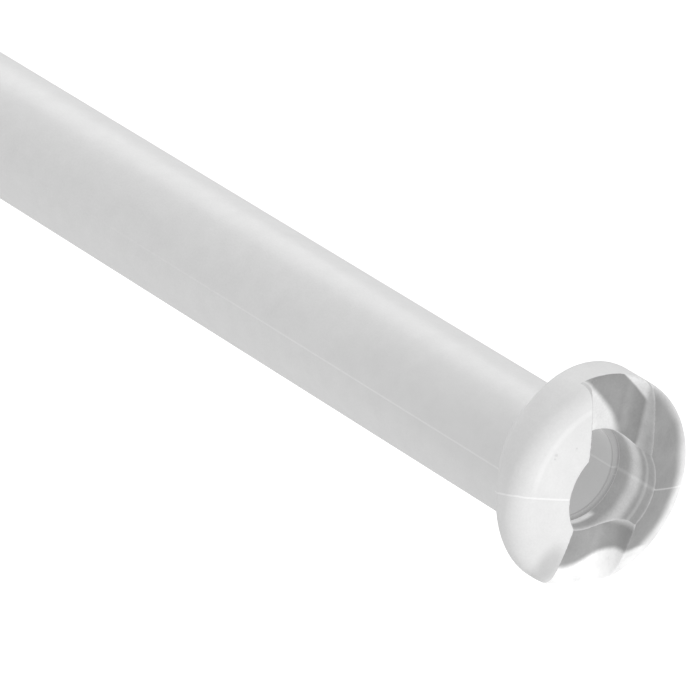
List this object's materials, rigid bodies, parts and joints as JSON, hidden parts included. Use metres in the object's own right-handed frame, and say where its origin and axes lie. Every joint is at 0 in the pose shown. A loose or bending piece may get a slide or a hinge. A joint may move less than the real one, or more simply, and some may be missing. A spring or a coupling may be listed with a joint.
{
  "type": "saliva ejector",
  "caption": "Dental saliva ejector: a straight wire-reinforced plastic tube with a domed, slotted push-on suction tip.",
  "frame": {"origin": "centre of the tube's rear end, on the axis of its outside", "axes": "+X along the tube towards the tip, +Z across it along the tip's slot, +Y to the left seen from behind"},
  "size_m": [0.15, 0.0108, 0.0107],
  "materials": {
    "tube_plastic": "milky translucent, finely frosted",
    "tip_plastic": "milky translucent, frosted outside and polished in the slot",
    "wire_metal": "drawn wire"
  },
  "bodies": {
    "tube_body": {"tube": "tube_plastic", "shaping_wire": "wire_metal"},
    "tip_body": {"slotted_tip": "tip_plastic"}
  },
  "joints": [
    {"name": "tip_pull", "type": "slide", "parent": "tube_body", "child": "tip_body", "axis": [1, 0, 0], "range_m": [0, 0.012]}
  ]
}
